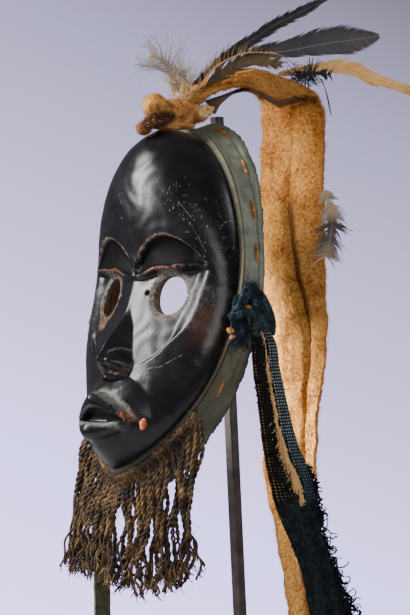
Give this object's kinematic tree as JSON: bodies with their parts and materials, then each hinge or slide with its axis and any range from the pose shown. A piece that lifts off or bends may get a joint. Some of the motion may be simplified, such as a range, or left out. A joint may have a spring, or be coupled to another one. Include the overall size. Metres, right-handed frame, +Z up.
{
  "type": "carved face mask on a stand",
  "caption": "Carved wooden face mask with stitched hide rim band, cord beard, cloth head straps and feathers, held upright by a square steel bar on a flat foot.",
  "frame": {"origin": "centre of the foot plate's underside", "axes": "+Z up, the mask looks towards -Y, +X is the mask's own left side"},
  "size_m": [0.1852, 0.3533, 0.5314],
  "materials": {
    "black_wood": "polished black patina over dark wood",
    "red_bead": "worn orange-red bead",
    "green_hide": "matt green-grey hide",
    "brown_cord": "twisted plant-fibre cord",
    "tan_hide": "raw tan hide with nap",
    "tan_cloth": "coarse tan weave",
    "indigo_cloth": "dark indigo weave",
    "dark_feather": "dark feather",
    "grey_feather": "slate grey feather",
    "tan_feather": "tan feather",
    "pale_feather": "cream and dark barred feather",
    "brown_feather": "soft brown feather",
    "black_steel": "dark patinated steel"
  },
  "bodies": {
    "root": {"face": "black_wood", "mouth_peg": "red_bead", "rim_band": "green_hide", "beard": "brown_cord", "top_knot": "tan_hide", "tan_strap": "tan_cloth", "ear_knot_left": "indigo_cloth", "ear_strap_left": "indigo_cloth", "ear_knot_right": "green_hide", "ear_strap_right": "green_hide", "feather_long": "dark_feather", "feather_tuft": "dark_feather", "feather_broad": "grey_feather", "feather_tan": "tan_feather", "feather_barred": "pale_feather", "feather_edge": "pale_feather", "feather_soft": "brown_feather", "feather_plume": "brown_feather", "strap_plate": "black_steel", "stand_hook": "black_steel", "stand_bar": "black_steel", "stand_base": "black_steel"}
  },
  "joints": []
}
